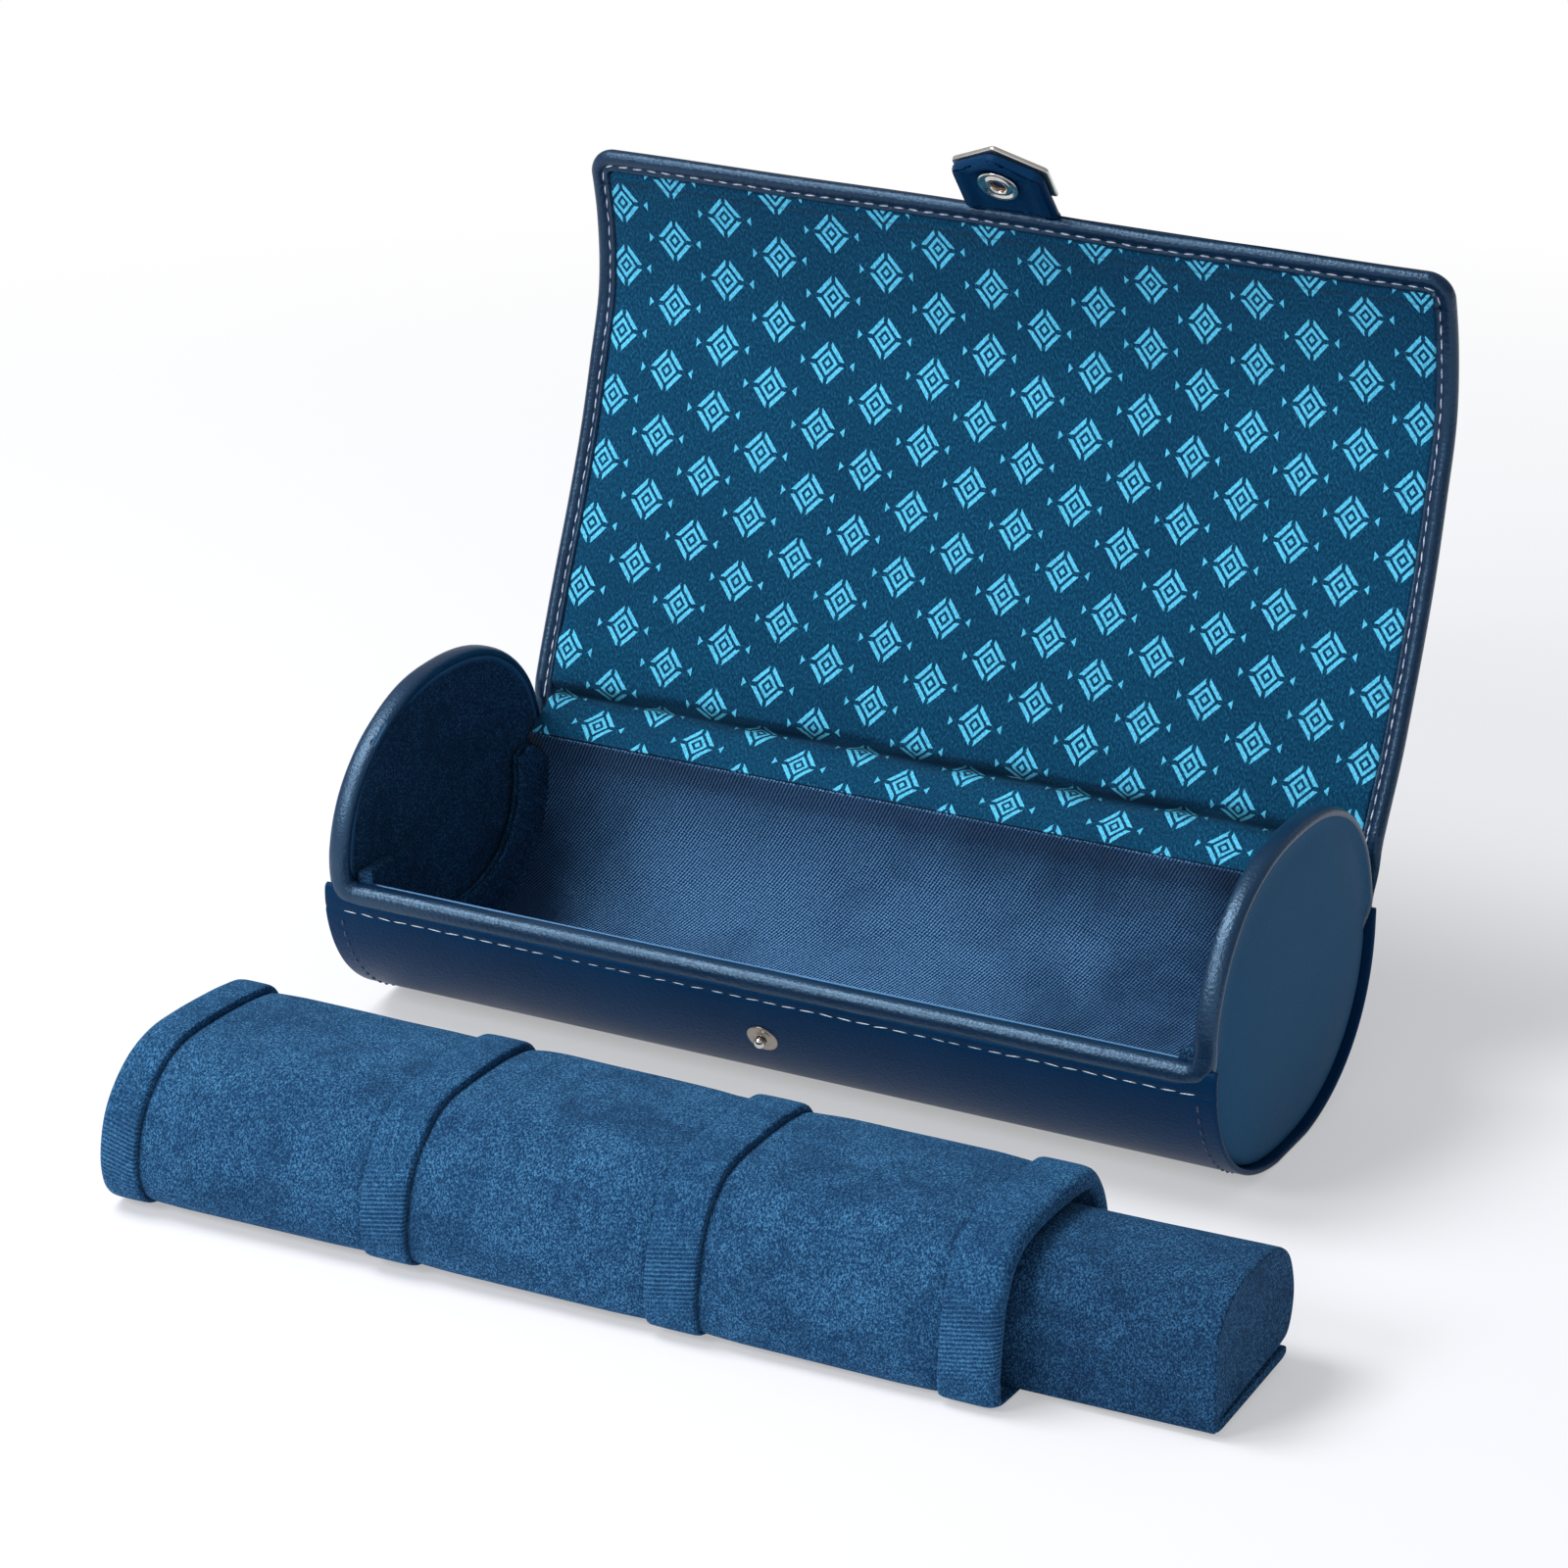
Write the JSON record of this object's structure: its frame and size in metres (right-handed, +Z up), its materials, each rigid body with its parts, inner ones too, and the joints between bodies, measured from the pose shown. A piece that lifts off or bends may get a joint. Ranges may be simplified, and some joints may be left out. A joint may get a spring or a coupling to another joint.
{
  "type": "watch roll",
  "caption": "Round-sectioned leather watch roll with a curling padded lid, a snap tab, and a banded suede cushion roll whose pillow slides out",
  "frame": {"origin": "the middle of the flat under the case, on the surface that it stands on", "axes": "+X along the roll to its right end, +Y to the back where the lid is hinged, +Z up"},
  "size_m": [0.28, 0.2552, 0.2173],
  "materials": {
    "leather": "fine-grained smooth leather, navy",
    "greyboard": "greyboard",
    "tray_lining": "twill",
    "lid_lining": "printed cotton",
    "foam": "foam sheet",
    "nickel": "polished nickel plate",
    "suede": "suede nap"
  },
  "bodies": {
    "case": {"tray_leather": "leather", "tray_shell": "greyboard", "tray_lining": "tray_lining", "lip_binding": "leather", "hinge_strip": "lid_lining", "left_end_leather": "leather", "left_end_board": "greyboard", "left_end_lining": "tray_lining", "left_end_rib": "tray_lining", "right_end_leather": "leather", "right_end_board": "greyboard", "right_end_lining": "tray_lining", "right_end_rib": "tray_lining", "snap_stud": "nickel", "snap_stud_flange": "nickel", "snap_stud_rivet": "nickel"},
    "lid_1": {"lid_leather_1": "leather", "lid_pad_1": "foam", "lid_lining_1": "lid_lining"},
    "lid_2": {"lid_leather_2": "leather", "lid_pad_2": "foam", "lid_lining_2": "lid_lining"},
    "lid_3": {"lid_leather_3": "leather", "lid_pad_3": "foam", "lid_lining_3": "lid_lining"},
    "lid_4": {"lid_leather_4": "leather", "lid_pad_4": "foam", "lid_lining_4": "lid_lining"},
    "lid_5": {"lid_leather_5": "leather", "lid_pad_5": "foam", "lid_lining_5": "lid_lining"},
    "lid_6": {"lid_leather_6": "leather", "lid_pad_6": "foam", "lid_lining_6": "lid_lining"},
    "lid_7": {"lid_leather_7": "leather", "lid_pad_7": "foam", "lid_lining_7": "lid_lining"},
    "lid_8": {"lid_leather_8": "leather", "lid_pad_8": "foam", "lid_lining_8": "lid_lining"},
    "tab_root": {"tab_root": "leather"},
    "tab": {"tab_leather_inner": "leather", "tab_leather_outer": "leather", "tab_plate": "nickel", "snap_socket": "nickel", "snap_cap": "nickel"},
    "sleeve": {"sleeve_cover": "suede", "sleeve_band_1": "suede", "sleeve_band_2": "suede", "sleeve_band_3": "suede", "sleeve_band_4": "suede"},
    "pillow": {"pillow_block": "suede", "pillow_board": "suede"}
  },
  "joints": [
    {"name": "lid_hinge", "type": "hinge", "parent": "case", "child": "lid_1", "pos_m": [0, 0.04981, 0.0518], "axis": [1, 0, 0], "range_deg": [-15.11, 50.35]},
    {"name": "lid_bend_2", "type": "hinge", "parent": "lid_1", "child": "lid_2", "pos_m": [0, 0.05809, 0.06879], "axis": [1, 0, 0], "range_deg": [-8.5, 28.22]},
    {"name": "lid_bend_3", "type": "hinge", "parent": "lid_2", "child": "lid_3", "pos_m": [0, 0.06638, 0.08577], "axis": [1, 0, 0], "range_deg": [-6.99, 23.19]},
    {"name": "lid_bend_4", "type": "hinge", "parent": "lid_3", "child": "lid_4", "pos_m": [0, 0.07481, 0.10269], "axis": [1, 0, 0], "range_deg": [-3.73, 12.33]},
    {"name": "lid_bend_5", "type": "hinge", "parent": "lid_4", "child": "lid_5", "pos_m": [0, 0.0825, 0.11996], "axis": [1, 0, 0], "range_deg": [-3.11, 10.26]},
    {"name": "lid_bend_6", "type": "hinge", "parent": "lid_5", "child": "lid_6", "pos_m": [0, 0.08881, 0.13777], "axis": [1, 0, 0], "range_deg": [-6.07, 20.12]},
    {"name": "lid_bend_7", "type": "hinge", "parent": "lid_6", "child": "lid_7", "pos_m": [0, 0.09433, 0.15585], "axis": [1, 0, 0], "range_deg": [-3.4, 11.2]},
    {"name": "lid_bend_8", "type": "hinge", "parent": "lid_7", "child": "lid_8", "pos_m": [0, 0.09433, 0.17475], "axis": [1, 0, 0], "range_deg": [-3.67, 12.11]},
    {"name": "tab_flex", "type": "hinge", "parent": "lid_8", "child": "tab_root", "pos_m": [0, 0.09118, 0.1934], "axis": [1, 0, 0], "range_deg": [-25.05, 7.55]},
    {"name": "tab_hinge", "type": "hinge", "parent": "tab_root", "child": "tab", "pos_m": [0, 0.08878, 0.19659], "axis": [1, 0, 0], "range_deg": [-60, 28.03]},
    {"name": "cushion_lift", "type": "slide", "parent": "case", "child": "sleeve", "axis": [0, 0, 1], "range_m": [0, 0.12]},
    {"name": "pillow_slide", "type": "slide", "parent": "sleeve", "child": "pillow", "axis": [1, 0, 0], "range_m": [-0.0445, 0.06]}
  ],
  "couplings": [
    {"joint": "lid_bend_2", "follows": "lid_hinge", "ratio": 0.55953},
    {"joint": "lid_bend_3", "follows": "lid_hinge", "ratio": 0.45953},
    {"joint": "lid_bend_4", "follows": "lid_hinge", "ratio": 0.24383},
    {"joint": "lid_bend_5", "follows": "lid_hinge", "ratio": 0.20274},
    {"joint": "lid_bend_6", "follows": "lid_hinge", "ratio": 0.39852},
    {"joint": "lid_bend_7", "follows": "lid_hinge", "ratio": 0.22146},
    {"joint": "lid_bend_8", "follows": "lid_hinge", "ratio": 0.23956},
    {"joint": "tab_flex", "follows": "lid_hinge", "ratio": -0.4965}
  ]
}
